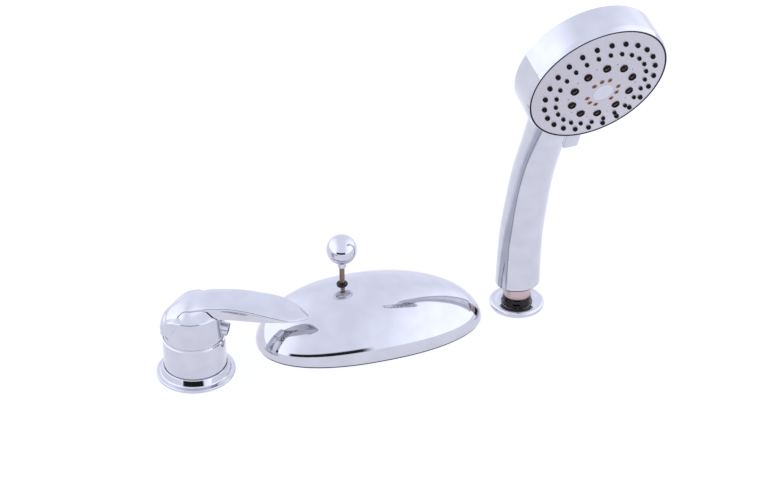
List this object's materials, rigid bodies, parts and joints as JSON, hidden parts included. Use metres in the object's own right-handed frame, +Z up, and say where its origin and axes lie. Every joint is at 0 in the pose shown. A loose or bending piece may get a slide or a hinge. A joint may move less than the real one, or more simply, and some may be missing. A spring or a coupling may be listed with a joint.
{
  "type": "bath mixer",
  "caption": "Bath-rim mixer set in polished chrome: single-lever mixer with a stepped flange, low dome spout with a ball pull-knob diverter, and a hand shower standing in a round deck holder.",
  "frame": {"origin": "on the top of the bath deck, on the axis of the spout's shank", "axes": "+X along the spout towards its outlet end, +Z up from the deck"},
  "size_m": [0.3521, 0.1677, 0.3518],
  "materials": {
    "chrome": "polished",
    "brass": "machined",
    "steel": "plain",
    "rubber": "matte",
    "plastic": "moulded",
    "ceramic": "lapped",
    "satin_face": "satin",
    "index_white": "moulded",
    "copper_nozzle": "moulded"
  },
  "bodies": {
    "deck_set": {"mixer_flange": "chrome", "mixer_body": "chrome", "mixer_flange_seal": "rubber", "mixer_base_seal": "rubber", "port_seals": "rubber", "cartridge_base": "plastic", "fixed_disc": "ceramic", "cartridge_housing": "plastic", "cartridge_nut": "brass", "cartridge_cap": "chrome", "clamp_gaskets": "rubber", "clamp_washers": "steel", "clamp_nuts": "brass", "holder_clamp_gasket": "rubber", "holder_clamp_washer": "steel", "holder_clamp_nut": "brass", "spout_shell": "chrome", "spout_gasket": "rubber", "spout_core": "brass", "diverter_seat": "brass", "diverter_bonnet": "brass", "stem_packing": "rubber", "stem_bush": "chrome", "spout_tube": "brass", "aerator_housing": "chrome", "aerator_insert": "plastic", "aerator_seal": "rubber", "holder_shank": "brass", "holder_liner": "plastic", "holder_plate": "chrome", "holder_plate_seal": "rubber"},
    "lever_swivel": {"lever_turret": "plastic", "lever_pin": "steel"},
    "lever_arm": {"lever_spindle": "brass", "lever": "chrome", "lever_screw": "steel", "index_plug": "index_white"},
    "sliding_disc": {"disc_carrier": "plastic", "moving_disc": "ceramic"},
    "diverter": {"diverter_stem": "chrome", "diverter_knob": "chrome", "diverter_valve": "brass", "valve_washers": "rubber"},
    "hose_end": {"hose_nipple": "brass", "hose_washer": "rubber"},
    "hand_shower": {"hose_nut": "chrome", "shower_shell": "chrome", "thread_insert": "brass", "water_tube": "plastic", "face_plate": "satin_face", "nozzle_mat": "rubber", "massage_nozzles": "rubber", "mist_nozzles": "copper_nozzle", "face_cap": "chrome", "face_screw": "steel", "water_divider": "plastic", "water_manifold": "plastic"},
    "spray_selector": {"mode_tab": "chrome", "selector_disc": "plastic"}
  },
  "joints": [
    {"name": "lever_swing", "type": "hinge", "parent": "deck_set", "child": "lever_swivel", "pos_m": [-0.118, -0.0162, 0.034], "axis": [0, 0, 1], "range_deg": [-25, 75]},
    {"name": "lever_lift", "type": "hinge", "parent": "lever_swivel", "child": "lever_arm", "pos_m": [-0.118, -0.0162, 0.034], "axis": [-0.4289, -0.9033, 0], "range_deg": [0, 20]},
    {"name": "disc_travel", "type": "slide", "parent": "lever_swivel", "child": "sliding_disc", "axis": [0.9033, -0.4289, 0], "range_m": [0, 0.00343]},
    {"name": "diverter_lift", "type": "slide", "parent": "deck_set", "child": "diverter", "axis": [0, 0, 1], "range_m": [0, 0.0115]},
    {"name": "shower_lift", "type": "slide", "parent": "deck_set", "child": "hose_end", "axis": [0, 0, 1], "range_m": [0, 0.3]},
    {"name": "shower_turn", "type": "hinge", "parent": "hose_end", "child": "hand_shower", "pos_m": [0.1421, 0.0005, 0.02], "axis": [0, 0, 1], "continuous": true},
    {"name": "spray_mode", "type": "hinge", "parent": "hand_shower", "child": "spray_selector", "pos_m": [0.15317, -0.10311, 0.2423], "axis": [0.0991, -0.927, -0.3616], "range_deg": [-25, 25]}
  ],
  "couplings": [
    {"joint": "disc_travel", "follows": "lever_lift", "m_per_rad": 0.0097982}
  ]
}
